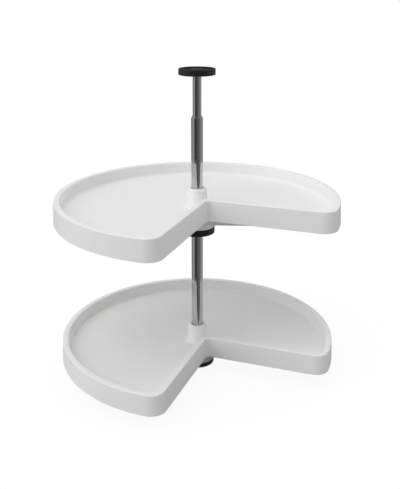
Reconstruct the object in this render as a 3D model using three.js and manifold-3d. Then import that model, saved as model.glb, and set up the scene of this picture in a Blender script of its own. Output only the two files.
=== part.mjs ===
// Two-tier kidney carousel for a corner cabinet: two notched trays that turn by
// themselves on a telescoping post. Millimetres, +Z up. The origin is on the post's
// axis, on the cabinet floor. The notch of both trays faces +X and -Y.
import * as THREE from 'three';
import { mergeVertices } from 'three/addons/utils/BufferGeometryUtils.js';
import Module from 'manifold-3d';

const wasm = await Module();
wasm.setup();

// ---- Driving dimensions ----

// Trays, measured up from the bottom edge of their rim
const TRAY_RADIUS = 305;
const RIM_HEIGHT = 45;
const RIM_WIDTH = 12.5;
const RIM_DRAFT = 2.6;
const RIM_ROUND = 2;
const TRAY_WALL = 2.8;
const FLOOR_RISE = 18;
const FLOOR_THICKNESS = 3;
const FLOOR_FILLET = 5;
const NOTCH_SETBACK = 37;
const NOTCH_FILLET = 10;
const LOBE_CORNER_RADIUS = 31;

// Tray hub: the boss above the floor and the tapered skirt under it
const BOSS_HEIGHT = 42;
const BOSS_DRAFT = 1.8;
const BOSS_SHOULDER = 4.8;
const BOSS_FLARE = 6;
const BOSS_LIP = 5;
const SLEEVE_WALL = 4;
const SKIRT_TOP_RADIUS = 40;
const SKIRT_BOTTOM_RADIUS = 37.2;
const SKIRT_DROP = 25.2;
const SKIRT_WALL = 3;

// Ribs under the tray, from the skirt to the rim
const RIB_THICKNESS = 2.4;
const RIB_DROP_AT_SKIRT = 20;
const RIB_LIFT_AT_RIM = 6;
const RIB_ROOT = 7;
const RIB_PITCH_DEG = 45;

// Post tubes
const OUTER_TUBE_RADIUS = 12.5;
const OUTER_TUBE_WALL = 1.5;
const OUTER_TUBE_LENGTH = 562.5;
const NECK_LENGTH = 5;
const NECK_LAND = 1;
const INNER_TUBE_RADIUS = 9;
const INNER_TUBE_WALL = 1.2;
const INNER_TUBE_LENGTH = 400;
const POST_HEIGHT = 662;

// Black flanges, the shelf collar and the bearing rings
const FLANGE_RADIUS = 38;
const TOP_FLANGE_THICKNESS = 12.5;
const TOP_SOCKET_DEPTH = 6;
const DISH_DEPTH = 4.5;
const DISH_RIM = 3.5;
const DISH_HUB_RADIUS = 14;
const DISH_HUB_DROP = 0.8;
const COLLAR_RADIUS = 38;
const COLLAR_THICKNESS = 13.5;
const BASE_FLANGE_THICKNESS = 9.5;
const BASE_SOCKET_FLOOR = 4;
const EDGE_ROUND = 1.5;
const RING_MARGIN = 3.2;
const RING_THICKNESS = 2;
const RING_RECESS = 1.2;

// Bushes, plugs and screws
const BUSH_WALL = 3.7;
const BUSH_LENGTH = 18;
const GUIDE_LENGTH = 30;
const FOOT_LENGTH = 26;
const SPIGOT_LENGTH = 16;
const PLUG_LENGTH = 32;
const CENTRE_SCREW_RADIUS = 3;
const CENTRE_SCREW_LENGTH = 20;
const CENTRE_SCREW_HEAD = 5.6;
const FIXING_HOLE_RADIUS = 2.4;
const FIXING_HEAD_RADIUS = 4.4;
const FIXING_COUNT = 3;
const GRUB_RADIUS = 3;
const GRUB_LENGTH = 12;
const LOCK_SCREW_RADIUS = 2.5;
const LOCK_SCREW_HEAD = 4.5;
const LOCK_SCREW_BELOW_MOUTH = 18;

// Places
const SHELF_SPACING = 318.5;
const REAR_ANGLE_DEG = 135;
const GRUB_SPREAD_DEG = 45;

// Clearances
const RUNNING_GAP = 0.3;
const FIT_GAP = 0.3;

// Facets
const ROUND_SIDES = 30;
const SMALL_SIDES = 16;
const RIM_ARC_SIDES = 56;
const CORNER_ARC_SIDES = 5;
const FILLET_SIDES = 3;
const ROUND_STEPS = 2;

// ---- Sizes that follow ----

const FLOOR_UNDERSIDE = FLOOR_RISE - FLOOR_THICKNESS;
const BOSS_TOP = FLOOR_RISE + BOSS_HEIGHT;
const HUB_BORE_RADIUS = OUTER_TUBE_RADIUS + 3 * RUNNING_GAP;
const BUSH_BORE = OUTER_TUBE_RADIUS + RUNNING_GAP;
const BUSH_RADIUS = BUSH_BORE + BUSH_WALL;
const SEAT_RADIUS = BUSH_RADIUS + FIT_GAP;
const BOSS_TOP_RADIUS = SEAT_RADIUS + SLEEVE_WALL;
const BOSS_BASE_RADIUS = BOSS_TOP_RADIUS + BOSS_DRAFT;
const RING_RADIUS = BOSS_TOP_RADIUS + RING_MARGIN;
const FIXING_CIRCLE = (RING_RADIUS + COLLAR_RADIUS) / 2;
const TUBE_BORE = OUTER_TUBE_RADIUS - OUTER_TUBE_WALL;
const INNER_TUBE_BORE = INNER_TUBE_RADIUS - INNER_TUBE_WALL;
const RING_STAND = RING_THICKNESS - RING_RECESS;
const LOWER_TRAY_Z = BASE_FLANGE_THICKNESS + RING_STAND + SKIRT_DROP;
const UPPER_TRAY_Z = LOWER_TRAY_Z + SHELF_SPACING;
const COLLAR_TOP = -SKIRT_DROP - RING_STAND;
const TUBE_MOUTH_Z = BASE_SOCKET_FLOOR + OUTER_TUBE_LENGTH;
const INNER_TUBE_TOP = POST_HEIGHT - TOP_FLANGE_THICKNESS + TOP_SOCKET_DEPTH;
const INNER_TUBE_BOTTOM = INNER_TUBE_TOP - INNER_TUBE_LENGTH;
const REAR_ANGLE = THREE.MathUtils.degToRad(REAR_ANGLE_DEG);
const GRUB_SPREAD = THREE.MathUtils.degToRad(GRUB_SPREAD_DEG);

// ---- Materials ----

function finish(color, roughness, metalness) {
  return new THREE.MeshStandardMaterial({ color, roughness, metalness });
}

const white = () => finish(0xe9e9e9, 0.55, 0);
const black = () => finish(0x1c1c1c, 0.5, 0);
const chrome = () => finish(0xb4b8b8, 0.12, 1);
const steel = () => finish(0x8f9294, 0.35, 1);
const bearing = () => finish(0xd2d2cc, 0.6, 0);

// ---- Solids ----

// Welds shared corners, drops triangles that closed up at a pole, and turns the
// faces outwards.
function weld(geometry) {
  const bare = new THREE.BufferGeometry();
  bare.setAttribute('position', geometry.getAttribute('position'));
  bare.setIndex(geometry.getIndex());
  const merged = mergeVertices(bare, 1e-4);
  const index = merged.getIndex().array;
  const at = merged.getAttribute('position');
  const triangles = [];
  const [a, b, c] = [new THREE.Vector3(), new THREE.Vector3(), new THREE.Vector3()];
  let volume = 0;
  for (let i = 0; i < index.length; i += 3) {
    const [p, q, r] = [index[i], index[i + 1], index[i + 2]];
    if (p === q || q === r || r === p) continue;
    a.fromBufferAttribute(at, p);
    b.fromBufferAttribute(at, q);
    c.fromBufferAttribute(at, r);
    volume += a.dot(b.cross(c));
    triangles.push([p, q, r]);
  }
  const facing = volume > 0 ? triangles : triangles.map(([p, q, r]) => [p, r, q]);
  merged.setIndex(facing.flat());
  return merged;
}

function toManifold(geometry) {
  const closed = weld(geometry);
  return new wasm.Manifold(new wasm.Mesh({
    numProp: 3,
    vertProperties: new Float32Array(closed.getAttribute('position').array),
    triVerts: new Uint32Array(closed.getIndex().array),
  }));
}

function fromManifold(solid) {
  const mesh = solid.getMesh();
  const geometry = new THREE.BufferGeometry();
  geometry.setAttribute('position', new THREE.BufferAttribute(mesh.vertProperties, 3));
  geometry.setIndex(new THREE.BufferAttribute(mesh.triVerts, 1));
  return geometry;
}

function cut(body, ...tools) {
  const left = tools.reduce((solid, tool) => solid.subtract(toManifold(tool)), toManifold(body));
  return fromManifold(left);
}

// Turns a profile of [radius, height] points about Z. It starts and ends on the
// axis, or closes on itself.
function turned(profile, sides = ROUND_SIDES) {
  const points = profile.map(([radius, height]) => new THREE.Vector2(radius, height));
  return new THREE.LatheGeometry(points, sides).rotateX(Math.PI / 2);
}

function turnedRing(profile, sides = ROUND_SIDES) {
  return turned([...profile, profile[0]], sides);
}

// Points of a quarter round in a turned profile, from one angle to another.
function quarter(radius, height, size, from, to) {
  const start = THREE.MathUtils.degToRad(from);
  const end = THREE.MathUtils.degToRad(to);
  const arc = new THREE.EllipseCurve(radius, height, size, size, start, end, end < start);
  return arc.getPoints(FILLET_SIDES).map((point) => [point.x, point.y]);
}

function tubeRing(inner, outer, bottom, top, sides = ROUND_SIDES) {
  return turnedRing([[inner, bottom], [outer, bottom], [outer, top], [inner, top]], sides);
}

function rod(radius, bottom, top, sides = SMALL_SIDES) {
  return turned([[0, bottom], [radius, bottom], [radius, top], [0, top]], sides);
}

// A rod that lies across the post: it starts at one radius and ends at another.
function crossRod(radius, start, end, height, angle, sides = SMALL_SIDES) {
  const across = rod(radius, start, end, sides).rotateY(Math.PI / 2).rotateZ(angle);
  return across.translate(0, 0, height);
}

// A six-sided key socket, cut down from the top of a screw.
function keySocket(radius, bottom, top) {
  return rod(radius, bottom, top, 6);
}

function place(name, geometry, material) {
  const mesh = new THREE.Mesh(geometry, material);
  mesh.name = name;
  return mesh;
}

// ---- Tray ----

// The kidney outline, set in from the tray's outer face. Each point keeps its place
// in the list at any inset, because the arcs keep their centres.
function kidneyOutline(inset) {
  const reach = TRAY_RADIUS - LOBE_CORNER_RADIUS;
  const cornerSide = LOBE_CORNER_RADIUS - NOTCH_SETBACK;
  const cornerReach = Math.sqrt(reach ** 2 - cornerSide ** 2);
  const cornerAngle = Math.atan2(cornerSide, cornerReach);
  const corner = LOBE_CORNER_RADIUS - inset;
  const rim = TRAY_RADIUS - inset;
  const apexCentre = NOTCH_SETBACK + NOTCH_FILLET;
  const apex = NOTCH_FILLET + inset;
  const turn = Math.PI * 2;
  const arcs = [
    [cornerReach, cornerSide, corner, -turn / 4, cornerAngle, CORNER_ARC_SIDES],
    [0, 0, rim, cornerAngle, turn * 0.75 - cornerAngle, RIM_ARC_SIDES],
    [-cornerSide, -cornerReach, corner, turn * 0.75 - cornerAngle, turn, CORNER_ARC_SIDES],
    [apexCentre, -apexCentre, apex, turn / 2, turn / 4, CORNER_ARC_SIDES],
  ];
  const points = [];
  for (const [x, y, radius, from, to, sides] of arcs) {
    const arc = new THREE.EllipseCurve(x, y, radius, radius, from, to, to < from);
    for (const point of arc.getPoints(sides)) {
      const last = points.at(-1);
      if (!last || last.distanceTo(point) > 1e-6) points.push(point);
    }
  }
  return points;
}

// How far the rim's two leaning faces are set in at a height.
function outerFace(height) {
  return RIM_DRAFT * height / RIM_HEIGHT;
}

function basinFace(height) {
  return RIM_WIDTH + RIM_DRAFT * (2 - height / RIM_HEIGHT);
}

// The rim's section as [inset, height] pairs: from the floor up its fillet, over the
// flat top with its rounded edges, down the outer face, and back through the hollow.
function rimSection() {
  const section = [];
  for (let i = 0; i <= FILLET_SIDES; i += 1) {
    const turn = (1 - i / FILLET_SIDES) * Math.PI / 2;
    const height = FLOOR_RISE + FLOOR_FILLET * (1 - Math.sin(turn));
    section.push([basinFace(height) + FLOOR_FILLET * (1 - Math.cos(turn)), height]);
  }
  for (let i = 0; i <= ROUND_STEPS; i += 1) {
    const turn = i / ROUND_STEPS * Math.PI / 2;
    const height = RIM_HEIGHT - RIM_ROUND * (1 - Math.sin(turn));
    section.push([basinFace(height) - RIM_ROUND * (1 - Math.cos(turn)), height]);
  }
  for (let i = ROUND_STEPS; i >= 0; i -= 1) {
    const turn = i / ROUND_STEPS * Math.PI / 2;
    const height = RIM_HEIGHT - RIM_ROUND * (1 - Math.sin(turn));
    section.push([outerFace(height) + RIM_ROUND * (1 - Math.cos(turn)), height]);
  }
  const ceiling = RIM_HEIGHT - TRAY_WALL;
  section.push([0, 0]);
  section.push([TRAY_WALL, 0]);
  section.push([outerFace(ceiling) + TRAY_WALL, ceiling]);
  section.push([basinFace(ceiling) - TRAY_WALL, ceiling]);
  section.push([basinFace(FLOOR_UNDERSIDE) - TRAY_WALL, FLOOR_UNDERSIDE]);
  return section;
}

// Lofts the rim's section round the kidney outline, and closes it with the floor.
function trayShell() {
  const rings = rimSection().map(([inset, height]) => ({ outline: kidneyOutline(inset), height }));
  const count = rings[0].outline.length;
  const positions = [];
  for (const { outline, height } of rings) {
    for (const point of outline) positions.push(point.x, point.y, height);
  }
  const index = [];
  for (let ring = 0; ring < rings.length - 1; ring += 1) {
    for (let i = 0; i < count; i += 1) {
      const next = (i + 1) % count;
      const [a, b] = [ring * count + i, ring * count + next];
      index.push(a, b, b + count, a, b + count, a + count);
    }
  }
  const lastRing = (rings.length - 1) * count;
  for (const [a, b, c] of THREE.ShapeUtils.triangulateShape(rings[0].outline, [])) {
    index.push(a, c, b);
  }
  for (const [a, b, c] of THREE.ShapeUtils.triangulateShape(rings.at(-1).outline, [])) {
    index.push(lastRing + a, lastRing + b, lastRing + c);
  }
  const shell = new THREE.BufferGeometry();
  shell.setAttribute('position', new THREE.Float32BufferAttribute(positions, 3));
  shell.setIndex(index);
  return shell;
}

// The hub before it is bored: skirt, flare and shouldered boss.
function hubBlank() {
  const shoulder = BOSS_TOP_RADIUS - BOSS_SHOULDER;
  const flare = BOSS_BASE_RADIUS + BOSS_FLARE;
  return turned([
    [0, -SKIRT_DROP],
    [SKIRT_BOTTOM_RADIUS, -SKIRT_DROP],
    [SKIRT_TOP_RADIUS, FLOOR_UNDERSIDE],
    [SKIRT_TOP_RADIUS, FLOOR_RISE - FLOOR_THICKNESS / 2],
    [flare, FLOOR_RISE - FLOOR_THICKNESS / 2],
    ...quarter(flare, FLOOR_RISE + BOSS_FLARE, BOSS_FLARE, 270, 180),
    ...quarter(shoulder, BOSS_TOP - BOSS_SHOULDER, BOSS_SHOULDER, 0, 90),
    [0, BOSS_TOP],
  ]);
}

function hubBore() {
  const below = -2 * SKIRT_DROP;
  const lip = BOSS_TOP - BOSS_LIP;
  return turned([
    [0, below],
    [SEAT_RADIUS, below],
    [SEAT_RADIUS, lip],
    [HUB_BORE_RADIUS, lip],
    [HUB_BORE_RADIUS, BOSS_TOP - 1],
    [HUB_BORE_RADIUS + 2, BOSS_TOP + 1],
    [0, BOSS_TOP + 1],
  ]);
}

// The ring-shaped pocket between the bush sleeve and the skirt, open below.
function hubPocket() {
  const sleeve = BOSS_TOP_RADIUS;
  return turnedRing([
    [sleeve, -2 * SKIRT_DROP],
    [SKIRT_BOTTOM_RADIUS - SKIRT_WALL, -2 * SKIRT_DROP],
    [SKIRT_BOTTOM_RADIUS - SKIRT_WALL, -SKIRT_DROP],
    [SKIRT_TOP_RADIUS - SKIRT_WALL, FLOOR_UNDERSIDE],
    [sleeve, FLOOR_UNDERSIDE],
  ]);
}

// One tapering rib: it hangs from the floor and runs from the skirt into the rim
// wall, with a curved root that grows deeper where it meets the skirt.
function rib(angle) {
  const start = SKIRT_BOTTOM_RADIUS - SKIRT_WALL / 2;
  const root = SKIRT_BOTTOM_RADIUS + RIB_ROOT;
  const end = TRAY_RADIUS - TRAY_WALL / 2;
  const top = FLOOR_UNDERSIDE + FLOOR_THICKNESS / 2;
  const side = new THREE.Shape();
  side.moveTo(start, -RIB_DROP_AT_SKIRT - RIB_ROOT / 2);
  side.quadraticCurveTo(SKIRT_BOTTOM_RADIUS + 1, -RIB_DROP_AT_SKIRT, root, -RIB_DROP_AT_SKIRT);
  side.lineTo(end, RIB_LIFT_AT_RIM);
  side.lineTo(end, top);
  side.lineTo(start, top);
  side.closePath();
  const blade = new THREE.ExtrudeGeometry(side, {
    depth: RIB_THICKNESS, bevelEnabled: false, curveSegments: FILLET_SIDES,
  });
  return blade.translate(0, 0, -RIB_THICKNESS / 2).rotateX(Math.PI / 2).rotateZ(angle);
}

function tray() {
  let solid = toManifold(trayShell()).add(toManifold(hubBlank()));
  for (let degrees = 0; degrees <= 270; degrees += RIB_PITCH_DEG) {
    solid = solid.add(toManifold(rib(THREE.MathUtils.degToRad(degrees))));
  }
  solid = solid.subtract(toManifold(hubPocket())).subtract(toManifold(hubBore()));
  return fromManifold(solid);
}

function hubBush(bottom) {
  return tubeRing(BUSH_BORE, BUSH_RADIUS, bottom, bottom + BUSH_LENGTH);
}

// A tray with its two bushes, with z = 0 at the bottom edge of the rim.
function shelf(prefix) {
  const group = new THREE.Group();
  group.add(place(`${prefix}_tray`, tray(), white()));
  group.add(place(`${prefix}_boss_bush`, hubBush(BOSS_TOP - BOSS_LIP - BUSH_LENGTH), bearing()));
  group.add(place(`${prefix}_skirt_bush`, hubBush(-SKIRT_DROP), bearing()));
  return group;
}

// The ring that the tray's sleeve turns on. It lies in the recess of the black disc.
function bearingRing() {
  return tubeRing(HUB_BORE_RADIUS, RING_RADIUS, -SKIRT_DROP - RING_THICKNESS, -SKIRT_DROP);
}

// ---- Black discs ----

// A disc with rounded edges and a recess for the bearing ring in its top. The bore
// runs through, or stops at a socket floor.
function recessedDisc(radius, top, thickness, bore, socketFloor) {
  const bottom = top - thickness;
  const recess = RING_RADIUS + FIT_GAP;
  const inner = socketFloor > 0
    ? [[0, bottom + socketFloor], [0, bottom]]
    : [[bore, bottom]];
  const rim = [
    ...quarter(radius - EDGE_ROUND, bottom + EDGE_ROUND, EDGE_ROUND, 270, 360),
    ...quarter(radius - EDGE_ROUND, top - EDGE_ROUND, EDGE_ROUND, 0, 90),
    [recess, top],
    [recess, top - RING_RECESS],
    [bore, top - RING_RECESS],
  ];
  if (socketFloor > 0) {
    return turned([inner[1], ...rim, [bore, bottom + socketFloor], inner[0]]);
  }
  return turnedRing([inner[0], ...rim]);
}

// Holes for the screws that fasten a flange to the cabinet, sunk for their heads on
// the side away from it.
function fixingHoles(holeEnd, headStart, headEnd) {
  const holes = [];
  for (let i = 0; i < FIXING_COUNT; i += 1) {
    const angle = REAR_ANGLE + Math.PI * 2 * i / FIXING_COUNT;
    const [x, y] = [FIXING_CIRCLE * Math.cos(angle), FIXING_CIRCLE * Math.sin(angle)];
    holes.push(turned([
      [0, holeEnd],
      [FIXING_HOLE_RADIUS, holeEnd],
      [FIXING_HOLE_RADIUS, headStart],
      [FIXING_HEAD_RADIUS, headEnd],
      [FIXING_HEAD_RADIUS, headEnd + Math.sign(headEnd - holeEnd)],
      [0, headEnd + Math.sign(headEnd - holeEnd)],
    ], SMALL_SIDES).translate(x, y, 0));
  }
  return holes;
}

// The countersunk hole for a centre screw whose head lies flush with a face.
function centreHole(face, direction, depth) {
  const head = CENTRE_SCREW_HEAD + FIT_GAP;
  const shank = CENTRE_SCREW_RADIUS + FIT_GAP;
  const sink = head - shank;
  return turned([
    [0, face - direction],
    [head, face - direction],
    [head, face + direction * FIT_GAP],
    [shank, face + direction * (sink + FIT_GAP)],
    [shank, face + direction * depth],
    [0, face + direction * depth],
  ], SMALL_SIDES);
}

// A countersunk screw with a key socket, from its head's face along the given way.
function centreScrew(face, direction) {
  const sink = CENTRE_SCREW_HEAD - CENTRE_SCREW_RADIUS;
  const blank = turned([
    [0, face],
    [CENTRE_SCREW_HEAD, face],
    [CENTRE_SCREW_RADIUS, face + direction * sink],
    [CENTRE_SCREW_RADIUS, face + direction * CENTRE_SCREW_LENGTH],
    [0, face + direction * CENTRE_SCREW_LENGTH],
  ], SMALL_SIDES);
  const socket = CENTRE_SCREW_RADIUS * 0.7;
  const ends = [face - direction, face + direction * CENTRE_SCREW_RADIUS];
  return cut(blank, keySocket(socket, Math.min(...ends), Math.max(...ends)));
}

function baseFlange() {
  const socket = OUTER_TUBE_RADIUS + FIT_GAP;
  const thickness = BASE_FLANGE_THICKNESS;
  const disc = recessedDisc(COLLAR_RADIUS, thickness, thickness, socket, BASE_SOCKET_FLOOR);
  const headEnd = thickness;
  const headStart = headEnd - (FIXING_HEAD_RADIUS - FIXING_HOLE_RADIUS);
  return cut(
    disc,
    ...fixingHoles(-1, headStart, headEnd),
    centreHole(FIT_GAP, 1, thickness),
  );
}

function topFlange() {
  const top = POST_HEIGHT;
  const bottom = top - TOP_FLANGE_THICKNESS;
  const socket = INNER_TUBE_RADIUS + FIT_GAP;
  const dish = top - DISH_DEPTH;
  const hubTop = top - DISH_HUB_DROP;
  const rim = FLANGE_RADIUS - DISH_RIM;
  const disc = turned([
    [0, bottom + TOP_SOCKET_DEPTH],
    [socket, bottom + TOP_SOCKET_DEPTH],
    [socket, bottom],
    ...quarter(FLANGE_RADIUS - EDGE_ROUND, bottom + EDGE_ROUND, EDGE_ROUND, 270, 360),
    ...quarter(FLANGE_RADIUS - EDGE_ROUND / 2, top - EDGE_ROUND / 2, EDGE_ROUND / 2, 0, 90),
    [rim, top],
    [rim - 1, dish],
    [DISH_HUB_RADIUS + 1, dish],
    [DISH_HUB_RADIUS, hubTop],
    [0, hubTop],
  ]);
  const headEnd = bottom;
  const headStart = headEnd + FIXING_HEAD_RADIUS - FIXING_HOLE_RADIUS;
  return cut(
    disc,
    ...fixingHoles(top + 1, headStart, headEnd),
    centreHole(hubTop - FIT_GAP, -1, TOP_FLANGE_THICKNESS),
  );
}

function grubAngle(side) {
  return REAR_ANGLE + side * GRUB_SPREAD;
}

function shelfCollar() {
  const bore = OUTER_TUBE_RADIUS + RUNNING_GAP;
  const disc = recessedDisc(COLLAR_RADIUS, COLLAR_TOP, COLLAR_THICKNESS, bore, 0);
  const middle = COLLAR_TOP - COLLAR_THICKNESS / 2;
  const holes = [-1, 1].map((side) => (
    crossRod(GRUB_RADIUS + FIT_GAP, 0, COLLAR_RADIUS * 2, middle, grubAngle(side))
  ));
  return cut(disc, ...holes);
}

function grubScrew(side) {
  const middle = COLLAR_TOP - COLLAR_THICKNESS / 2;
  const start = OUTER_TUBE_RADIUS + FIT_GAP;
  const end = start + GRUB_LENGTH;
  const angle = grubAngle(side);
  const socket = crossRod(GRUB_RADIUS / 2, end - GRUB_RADIUS, end + 1, middle, angle, 6);
  return cut(crossRod(GRUB_RADIUS, start, end, middle, angle), socket);
}

// ---- Post ----

function lockScrewHeight() {
  return TUBE_MOUTH_Z - LOCK_SCREW_BELOW_MOUTH;
}

function lockScrewHole() {
  const radius = LOCK_SCREW_RADIUS + FIT_GAP;
  return crossRod(radius, 0, OUTER_TUBE_RADIUS * 2, lockScrewHeight(), REAR_ANGLE);
}

// The outer tube, whose mouth is drawn in round the inner tube.
function outerTube() {
  const mouth = INNER_TUBE_RADIUS + RUNNING_GAP;
  const shoulder = TUBE_MOUTH_Z - NECK_LENGTH;
  const land = TUBE_MOUTH_Z - NECK_LAND;
  return cut(turnedRing([
    [TUBE_BORE, BASE_SOCKET_FLOOR],
    [OUTER_TUBE_RADIUS, BASE_SOCKET_FLOOR],
    [OUTER_TUBE_RADIUS, shoulder],
    [OUTER_TUBE_RADIUS - 0.4, shoulder + 1],
    [mouth + OUTER_TUBE_WALL * 0.75, land],
    [mouth + OUTER_TUBE_WALL * 0.6, TUBE_MOUTH_Z],
    [mouth, TUBE_MOUTH_Z],
    [mouth, land],
    [TUBE_BORE, shoulder],
  ]), lockScrewHole());
}

function guideBush() {
  const top = TUBE_MOUTH_Z - NECK_LENGTH - FIT_GAP;
  const bore = INNER_TUBE_RADIUS + RUNNING_GAP;
  return cut(tubeRing(bore, TUBE_BORE - FIT_GAP, top - GUIDE_LENGTH, top), lockScrewHole());
}

function lockScrew() {
  const height = lockScrewHeight();
  const start = INNER_TUBE_RADIUS + RUNNING_GAP;
  const seat = OUTER_TUBE_RADIUS + FIT_GAP;
  const end = seat + LOCK_SCREW_RADIUS;
  const blank = turned([
    [0, start],
    [LOCK_SCREW_RADIUS, start],
    [LOCK_SCREW_RADIUS, seat],
    [LOCK_SCREW_HEAD, seat],
    [LOCK_SCREW_HEAD, end - 0.6],
    [LOCK_SCREW_HEAD - 0.8, end],
    [0, end],
  ], SMALL_SIDES).rotateY(Math.PI / 2).rotateZ(REAR_ANGLE).translate(0, 0, height);
  const socket = crossRod(LOCK_SCREW_RADIUS / 2, end - 1.5, end + 1, height, REAR_ANGLE, 6);
  return cut(blank, socket);
}

// A plug in a tube's end, tapped for the centre screw.
function tappedPlug(radius, bottom, top) {
  return tubeRing(CENTRE_SCREW_RADIUS + FIT_GAP, radius, bottom, top, SMALL_SIDES);
}

// The inner tube's foot: a slider in the outer tube, with a spigot in the inner one.
function slidingFoot() {
  const slider = TUBE_BORE - RUNNING_GAP;
  const spigot = INNER_TUBE_BORE - FIT_GAP;
  return turned([
    [0, INNER_TUBE_BOTTOM - FOOT_LENGTH],
    [slider - 1, INNER_TUBE_BOTTOM - FOOT_LENGTH],
    [slider, INNER_TUBE_BOTTOM - FOOT_LENGTH + 1],
    [slider, INNER_TUBE_BOTTOM],
    [spigot, INNER_TUBE_BOTTOM],
    [spigot, INNER_TUBE_BOTTOM + SPIGOT_LENGTH],
    [0, INNER_TUBE_BOTTOM + SPIGOT_LENGTH],
  ]);
}

function post() {
  const group = new THREE.Group();
  const plugTop = BASE_SOCKET_FLOOR + PLUG_LENGTH;
  group.add(place('base_flange', baseFlange(), black()));
  group.add(place('outer_tube', outerTube(), chrome()));
  group.add(place('foot_plug', tappedPlug(TUBE_BORE - FIT_GAP, BASE_SOCKET_FLOOR, plugTop), steel()));
  group.add(place('foot_screw', centreScrew(FIT_GAP, 1), steel()));
  group.add(place('guide_bush', guideBush(), bearing()));
  group.add(place('height_lock_screw', lockScrew(), steel()));
  return group;
}

function extension() {
  const group = new THREE.Group();
  const tube = tubeRing(INNER_TUBE_BORE, INNER_TUBE_RADIUS, INNER_TUBE_BOTTOM, INNER_TUBE_TOP);
  const plug = tappedPlug(INNER_TUBE_BORE - FIT_GAP, INNER_TUBE_TOP - PLUG_LENGTH, INNER_TUBE_TOP);
  group.add(place('inner_tube', tube, chrome()));
  group.add(place('sliding_foot', slidingFoot(), bearing()));
  group.add(place('top_plug', plug, steel()));
  group.add(place('top_flange', topFlange(), black()));
  group.add(place('top_screw', centreScrew(POST_HEIGHT - DISH_HUB_DROP - FIT_GAP, -1), black()));
  return group;
}

// ---- Assembly ----

const lowerShelf = shelf('lower');
lowerShelf.add(place('lower_bearing_ring', bearingRing(), bearing()));
lowerShelf.position.z = LOWER_TRAY_Z;

const upperShelf = shelf('upper');
upperShelf.add(place('upper_bearing_ring', bearingRing(), bearing()));
upperShelf.add(place('shelf_collar', shelfCollar(), black()));
upperShelf.add(place('collar_screw_left', grubScrew(-1), steel()));
upperShelf.add(place('collar_screw_right', grubScrew(1), steel()));
upperShelf.position.z = UPPER_TRAY_Z;

const carousel = new THREE.Group();
carousel.add(post(), extension(), lowerShelf, upperShelf);

export default carousel;
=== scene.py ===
"""Looks of a two-tier kidney carousel: fine meshes, finishes, stage and camera.

Metres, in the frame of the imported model: +Z up along the post, the notch of both
trays faces +X and -Y.
"""

import math

import bmesh
import bpy
from bpy.props import FloatProperty, FloatVectorProperty, IntProperty, PointerProperty
from mathutils import Matrix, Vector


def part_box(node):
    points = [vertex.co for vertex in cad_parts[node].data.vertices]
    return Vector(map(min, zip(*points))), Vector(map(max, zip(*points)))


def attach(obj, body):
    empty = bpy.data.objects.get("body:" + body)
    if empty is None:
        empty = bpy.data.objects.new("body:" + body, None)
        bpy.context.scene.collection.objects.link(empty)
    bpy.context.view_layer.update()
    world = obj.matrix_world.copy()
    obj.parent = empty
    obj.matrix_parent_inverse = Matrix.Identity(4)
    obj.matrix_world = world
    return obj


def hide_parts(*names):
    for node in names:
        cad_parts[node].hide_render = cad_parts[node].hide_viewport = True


bl_info = {
    "name": "Corner carousel",
    "version": (1, 0, 0),
    "blender": (4, 5, 0),
    "location": "View3D > Sidebar > Carousel",
    "description": "Builds the visible pieces of a kidney carousel round its construction model",
    "category": "Add Mesh",
}

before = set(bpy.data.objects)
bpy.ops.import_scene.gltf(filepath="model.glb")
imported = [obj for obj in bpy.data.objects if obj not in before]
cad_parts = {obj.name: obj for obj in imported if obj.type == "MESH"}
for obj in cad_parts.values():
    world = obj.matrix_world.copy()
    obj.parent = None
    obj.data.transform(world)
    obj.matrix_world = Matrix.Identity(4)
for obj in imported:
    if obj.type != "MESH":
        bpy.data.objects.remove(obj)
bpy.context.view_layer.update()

SMOOTH_ANGLE = math.radians(32)
QUARTER = math.pi / 2
TURN = math.pi * 2
# How near two places count as one, and two points of a mesh as the same
TINY = 1e-5
SAME_POINT = 1e-7


def node_radius(node):
    """The outer radius of a round node from its box, to a tenth of a millimetre."""
    low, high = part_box(node)
    return round((high.x - low.x) / 2, 4)


# The trays' bodies, and the post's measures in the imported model
TRAYS = {"upper": "upper_shelf", "lower": "lower_shelf"}
POST_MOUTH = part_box("outer_tube")[1].z
TUBE_RADIUS = node_radius("outer_tube")
ROD_RADIUS = node_radius("inner_tube")


# ---- Settings ----


def length(name, description, default):
    return FloatProperty(name=name, description=description, default=default, unit="LENGTH", precision=5)


def angle_setting(name, description, degrees):
    return FloatProperty(name=name, description=description, default=math.radians(degrees), subtype="ANGLE")


def colour(name, description, default):
    return FloatVectorProperty(
        name=name, description=description, default=default, subtype="COLOR", size=3, min=0, max=1
    )


class CarouselTraySettings(bpy.types.PropertyGroup):
    radius: length("Radius", "Radius of the round side of a tray", 0.3049)
    rim_height: length("Rim height", "From the rim's bottom edge to its top", 0.045)
    rim_width: length("Rim width", "Width of the rim's flat top", 0.0125)
    rim_draft: length("Rim draft", "How far each face of the rim leans over its height", 0.0026)
    rim_round: length("Rim round", "Rounding of the rim's two top edges", 0.0022)
    wall: length("Wall", "Thickness of the rim's walls", 0.0028)
    floor_rise: length("Floor rise", "From the rim's bottom edge to the floor's top", 0.018)
    floor_thickness: length("Floor thickness", "Thickness of the floor", 0.003)
    floor_fillet: length("Floor fillet", "Fillet between the rim and the floor", 0.005)
    notch_setback: length("Notch setback", "From the post's axis to the notch walls", 0.037)
    notch_fillet: length("Notch fillet", "Radius at the inner end of the notch", 0.010)
    lobe_corner: length("Lobe corner", "Radius of the two corners beside the notch", 0.031)
    edge: length("Edge", "Rounding of the lower edges of rim and hub", 0.0008)
    rib_thickness: length("Rib thickness", "Thickness of a rib under the floor", 0.0024)
    rib_drop: length("Rib drop", "How far a rib reaches below the rim at the skirt", 0.0198)
    rib_lift: length("Rib lift", "How far a rib stays above the rim's edge at its outer end", 0.006)
    rib_root: length("Rib root", "Reach of the curve where a rib meets the skirt", 0.007)
    rib_pitch: angle_setting("Rib pitch", "Angle between ribs", 45)


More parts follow.
